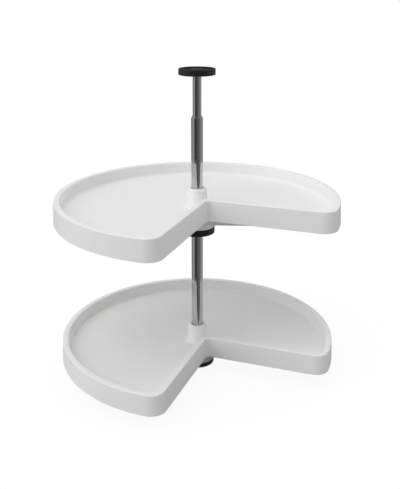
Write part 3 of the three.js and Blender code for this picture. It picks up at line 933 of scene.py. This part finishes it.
def centre_screw(name, face, direction):
    """A countersunk screw with a key socket, its head at a face."""
    sink = CENTRE_HEAD - CENTRE_SHANK
    profile = [
        (0, face, 0),
        (CENTRE_HEAD, face, HEAD_EDGE),
        (CENTRE_SHANK, face + direction * sink, HEAD_EDGE),
        (CENTRE_SHANK, face + direction * CENTRE_LENGTH, TIP_EDGE),
        (0, face + direction * CENTRE_LENGTH, 0),
    ]
    piece = as_piece(name, turned(profile, SCREW_SIDES, closed=False, segments=CENTRE_SEGMENTS))
    ends = sorted((face - direction * PROUD, face + direction * CENTRE_SHANK))
    cut(piece, screw_socket(CENTRE_SHANK * CENTRE_SOCKET_SHARE, *ends))
    return piece


def grub_screw(name, start, angle, height):
    """A headless screw across the post, from its tip to its key socket."""
    end = start + GRUB_LENGTH
    piece = as_piece(name, crosswise(rod_bm(GRUB_RADIUS, start, end, rounding=POINT_EDGE), angle, height))
    socket = screw_socket(GRUB_RADIUS / 2, end - GRUB_RADIUS, end + PROUD)
    cut(piece, crosswise(socket, angle, height))
    return piece


def lock_screw(name, tip, seat, height):
    """The screw with a low head that locks the telescope, from its tip to its head."""
    head_end = seat + LOCK_SCREW
    profile = [
        (0, tip, 0),
        (LOCK_SCREW, tip, POINT_EDGE),
        (LOCK_SCREW, seat, 0),
        (LOCK_SCREW_HEAD, seat, HEAD_EDGE),
        (LOCK_SCREW_HEAD, head_end, LOCK_HEAD_ROUND),
        (0, head_end, 0),
    ]
    piece = as_piece(name, crosswise(turned(profile, HOLE_SIDES, closed=False), REAR_ANGLE, height))
    socket = screw_socket(LOCK_SCREW / 2, head_end - LOCK_SOCKET_DEPTH, head_end + PROUD)
    cut(piece, crosswise(socket, REAR_ANGLE, height))
    return piece


class CAROUSEL_OT_screws(bpy.types.Operator):
    """Builds the screws of the flanges, the collar and the telescope"""

    bl_idname = "carousel.screws"
    bl_label = "Screws"

    def execute(self, context):
        post = context.scene.carousel_post
        seat = TUBE_RADIUS + context.scene.carousel_disc.gap
        ceiling = centre_screw("ceiling_flange_screw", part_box("top_screw")[1].z, -1)
        hand_over(ceiling, "extension", "black_screw", "top_screw")
        floor = centre_screw("floor_flange_screw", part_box("foot_screw")[0].z, 1)
        hand_over(floor, "post", "zinc_steel", "foot_screw")
        low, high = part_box("shelf_collar")
        for side, angle in grub_angles().items():
            grub = grub_screw(f"{side}_grub_screw", seat, angle, (low.z + high.z) / 2)
            hand_over(grub, "collar", "zinc_steel", f"collar_screw_{side}")
        tip = ROD_RADIUS + post.running_gap
        lock = lock_screw("telescope_screw", tip, seat, POST_MOUTH - post.lock_screw_drop)
        hand_over(lock, "post", "zinc_steel", "height_lock_screw")
        return {"FINISHED"}


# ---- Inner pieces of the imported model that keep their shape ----

KEPT_NODES = {
    "foot_plug": "zinc_steel",
    "top_plug": "zinc_steel",
    "guide_bush": "bearing_polymer",
    "sliding_foot": "bearing_polymer",
}


class CAROUSEL_OT_inner_pieces(bpy.types.Operator):
    """Gives the plugs and guides inside the tubes their finish"""

    bl_idname = "carousel.inner_pieces"
    bl_label = "Inner pieces"

    def execute(self, context):
        for node, slot in KEPT_NODES.items():
            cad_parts[node].material_slots[0].material = finish_of(slot)
        return {"FINISHED"}


# ---- Stage ----

FLOOR_RADIUS = 8.0
FLOOR_SIDES = 64
SENSOR_WIDTH = 36
SURROUND_SIDES = 72
SURROUND_LIFT = 0.002
SURROUND_INNER = 0.039
SURROUND_RADIUS = 3.0
SURROUND_HEIGHT = 4.2
FLOOR_ALBEDO = 0.4
FLOOR_WHITE_SHARE = 0.93
SHADOW_FADE_START = 0.35
SHADOW_FADE_END = 1.1
# Greys of the dark cards round the set, by angle round the post in degrees
SURROUND_GREYS = (
    (-180, 0.31),
    (-170, 0.33),
    (-160, 0.42),
    (-132, 0.45),
    (-118, 0.07),
    (-85, 0.05),
    (-70, 0.11),
    (-50, 0.14),
    (-25, 0.18),
    (0, 0.27),
    (25, 0.41),
    (45, 0.40),
    (70, 0.31),
    (146, 0.26),
    (180, 0.31),
)
# Soft lights by angle round the post from +X and height, both in degrees, and strength
SOFT_LIGHTS = (
    (90, 12, 1.88),
    (0, 90, 1.47),
    (225, 12, 1.43),
    (0, 12, 1.22),
    (225, 45, 1.10),
    (270, 45, 0.94),
    (180, 12, 0.65),
    (135, 12, 0.41),
    (45, 12, 0.16),
)
SOFT_FOCUS = 7


def bare_tree(owner):
    """The emptied node tree of a material or a world."""
    owner.use_nodes = True
    owner.node_tree.nodes.clear()
    return owner.node_tree


def end_tree(tree, output, surface):
    """Leads a shader to the tree's output."""
    end = tree.nodes.new(output)
    tree.links.new(surface.outputs[0], end.inputs["Surface"])


def blend(tree, share, lit, seen):
    """Mixes the shader that lights the set with the one that is seen."""
    mix = tree.nodes.new("ShaderNodeMixShader")
    tree.links.new(share, mix.inputs["Fac"])
    tree.links.new(lit.outputs[0], mix.inputs[1])
    tree.links.new(seen.outputs[0], mix.inputs[2])
    return mix


def seen_plainly(tree):
    """1 where the camera, a reflection or a refraction looks."""
    path = tree.nodes.new("ShaderNodeLightPath")
    seen = path.outputs["Is Camera Ray"]
    for output in ("Is Glossy Ray", "Is Transmission Ray"):
        seen = calculate(tree, "MAXIMUM", seen, path.outputs[output])
    return seen


def floor_material():
    """A pale floor that looks white, and keeps a share of the shadow near the object."""
    material = bpy.data.materials.new("pale_floor")
    tree = bare_tree(material)
    seen = seen_plainly(tree)
    tone = tree.nodes.new("ShaderNodeMix")
    tone.data_type = "RGBA"
    tone.inputs["A"].default_value = (FLOOR_ALBEDO, FLOOR_ALBEDO, FLOOR_ALBEDO, 1)
    tone.inputs["B"].default_value = (1, 1, 1, 1)
    tree.links.new(seen, tone.inputs["Factor"])
    pale = tree.nodes.new("ShaderNodeBsdfDiffuse")
    tree.links.new(tone.outputs["Result"], pale.inputs["Color"])
    place = tree.nodes.new("ShaderNodeTexCoord")
    reach = tree.nodes.new("ShaderNodeVectorMath")
    reach.operation = "LENGTH"
    tree.links.new(place.outputs["Object"], reach.inputs[0])
    white_share = tree.nodes.new("ShaderNodeMapRange")
    white_share.inputs["From Min"].default_value = SHADOW_FADE_START
    white_share.inputs["From Max"].default_value = SHADOW_FADE_END
    white_share.inputs["To Min"].default_value = FLOOR_WHITE_SHARE
    white_share.inputs["To Max"].default_value = 1
    tree.links.new(reach.outputs["Value"], white_share.inputs["Value"])
    share = calculate(tree, "MULTIPLY", seen, white_share.outputs["Result"])
    white = tree.nodes.new("ShaderNodeEmission")
    end_tree(tree, "ShaderNodeOutputMaterial", blend(tree, share, pale, white))
    return material


def surround_material():
    """Dark cards whose grey changes with the angle round the post."""
    material = bpy.data.materials.new("studio_cards")
    tree = bare_tree(material)
    place = tree.nodes.new("ShaderNodeTexCoord")
    angle = tree.nodes.new("ShaderNodeTexGradient")
    angle.gradient_type = "RADIAL"
    tree.links.new(place.outputs["Object"], angle.inputs["Vector"])
    greys = tree.nodes.new("ShaderNodeValToRGB")
    ramp = greys.color_ramp
    while len(ramp.elements) < len(SURROUND_GREYS):
        ramp.elements.new(position=0.5)
    for element, (degrees, grey) in zip(ramp.elements, SURROUND_GREYS):
        element.position = (degrees + 180) / 360
        element.color = (grey, grey, grey, 1)
    tree.links.new(angle.outputs["Fac"], greys.inputs["Fac"])
    glow = tree.nodes.new("ShaderNodeEmission")
    tree.links.new(greys.outputs["Color"], glow.inputs["Color"])
    end_tree(tree, "ShaderNodeOutputMaterial", glow)
    return material


def soft_light(tree, direction):
    """All the soft lights as one strength that changes with the direction."""
    total = 0
    for azimuth, elevation, share in SOFT_LIGHTS:
        turn, rise = math.radians(azimuth), math.radians(elevation)
        side = tree.nodes.new("ShaderNodeVectorMath")
        side.operation = "DOT_PRODUCT"
        side.inputs[1].default_value = (
            math.cos(rise) * math.cos(turn), math.cos(rise) * math.sin(turn), math.sin(rise)
        )
        tree.links.new(direction, side.inputs[0])
        near = calculate(tree, "MAXIMUM", side.outputs["Value"], 0)
        spread = calculate(tree, "POWER", near, SOFT_FOCUS)
        total = calculate(tree, "MULTIPLY_ADD", spread, share, total)
    return total


def white_world(strength):
    """A world of soft lights that only light the set; seen or reflected, it is white."""
    world = bpy.data.worlds.new("white_world")
    tree = bare_tree(world)
    direction = tree.nodes.new("ShaderNodeTexCoord")
    lights = tree.nodes.new("ShaderNodeBackground")
    lights.inputs["Color"].default_value = (1, 1, 1, 1)
    light = calculate(tree, "MULTIPLY", soft_light(tree, direction.outputs["Generated"]), strength)
    tree.links.new(light, lights.inputs["Strength"])
    white = tree.nodes.new("ShaderNodeBackground")
    white.inputs["Color"].default_value = (1, 1, 1, 1)
    end_tree(tree, "ShaderNodeOutputWorld", blend(tree, seen_plainly(tree), lights, white))
    bpy.context.scene.world = world


def stage_object(name, bm, material):
    """An object of the set, which isn't part of the carousel."""
    obj = as_piece(name, bm)
    obj.data.materials.append(material)
    return obj


def build_floor():
    """A round floor under the carousel."""
    bm = bmesh.new()
    bmesh.ops.create_circle(bm, cap_ends=True, radius=FLOOR_RADIUS, segments=FLOOR_SIDES)
    stage_object("studio_floor", bm, floor_material())


def build_surround():
    """An open-topped ring of cards, with a dark base, that only reflections see."""
    profile = [
        (SURROUND_INNER, SURROUND_LIFT, 0),
        (SURROUND_RADIUS, SURROUND_LIFT, 0),
        (SURROUND_RADIUS, SURROUND_HEIGHT, 0),
    ]
    bm = turned(profile, SURROUND_SIDES, closed=False)
    cards = stage_object("studio_cards", bm, surround_material())
    for ray in ("camera", "diffuse", "transmission", "volume_scatter", "shadow"):
        setattr(cards, f"visible_{ray}", False)


def build_camera(stage):
    """The camera at the viewing angle of the settings."""
    data = bpy.data.cameras.new("camera")
    data.sensor_fit = "AUTO"
    data.sensor_width = SENSOR_WIDTH
    data.lens = stage.lens
    camera = bpy.data.objects.new("camera", data)
    camera.location = (
        stage.distance * math.sin(stage.azimuth), -stage.distance * math.cos(stage.azimuth), stage.height
    )
    camera.rotation_euler = (QUARTER - stage.pitch, 0, stage.azimuth - stage.yaw)
    bpy.context.scene.collection.objects.link(camera)
    bpy.context.scene.camera = camera


class CAROUSEL_OT_stage(bpy.types.Operator):
    """Builds the floor, the studio cards, the light and the camera"""

    bl_idname = "carousel.stage"
    bl_label = "Stage"

    def execute(self, context):
        stage = context.scene.carousel_stage
        context.scene.view_settings.view_transform = "Standard"
        build_floor()
        build_surround()
        white_world(stage.light)
        build_camera(stage)
        return {"FINISHED"}


# ---- Panel and registration ----

BUILD_OPERATORS = (
    CAROUSEL_OT_trays,
    CAROUSEL_OT_bearings,
    CAROUSEL_OT_tubes,
    CAROUSEL_OT_top_flange,
    CAROUSEL_OT_base_flange,
    CAROUSEL_OT_shelf_collar,
    CAROUSEL_OT_screws,
    CAROUSEL_OT_inner_pieces,
    CAROUSEL_OT_stage,
)
SETTINGS = {
    "carousel_tray": CarouselTraySettings,
    "carousel_hub": CarouselHubSettings,
    "carousel_post": CarouselPostSettings,
    "carousel_disc": CarouselDiscSettings,
    "carousel_finish": CarouselFinishSettings,
    "carousel_stage": CarouselStageSettings,
}


class CAROUSEL_PT_panel(bpy.types.Panel):
    """Lists the pieces that can be built, and their settings"""

    bl_idname = "CAROUSEL_PT_panel"
    bl_label = "Corner carousel"
    bl_space_type = "VIEW_3D"
    bl_region_type = "UI"
    bl_category = "Carousel"

    def draw(self, context):
        column = self.layout.column(align=True)
        for operator in BUILD_OPERATORS:
            column.operator(operator.bl_idname)
        for name in SETTINGS:
            box = self.layout.box()
            settings = getattr(context.scene, name)
            for prop in settings.bl_rna.properties:
                if prop.identifier not in ("rna_type", "name"):
                    box.prop(settings, prop.identifier)


def register():
    for settings in SETTINGS.values():
        bpy.utils.register_class(settings)
    for name, settings in SETTINGS.items():
        setattr(bpy.types.Scene, name, PointerProperty(type=settings))
    for operator in BUILD_OPERATORS:
        bpy.utils.register_class(operator)
    bpy.utils.register_class(CAROUSEL_PT_panel)


def unregister():
    bpy.utils.unregister_class(CAROUSEL_PT_panel)
    for operator in reversed(BUILD_OPERATORS):
        bpy.utils.unregister_class(operator)
    for name, settings in SETTINGS.items():
        delattr(bpy.types.Scene, name)
        bpy.utils.unregister_class(settings)


def main():
    """Builds everything with the default settings."""
    register()
    for operator in BUILD_OPERATORS:
        _, action = operator.bl_idname.split(".")
        getattr(bpy.ops.carousel, action)()


if __name__ == "__main__":
    main()
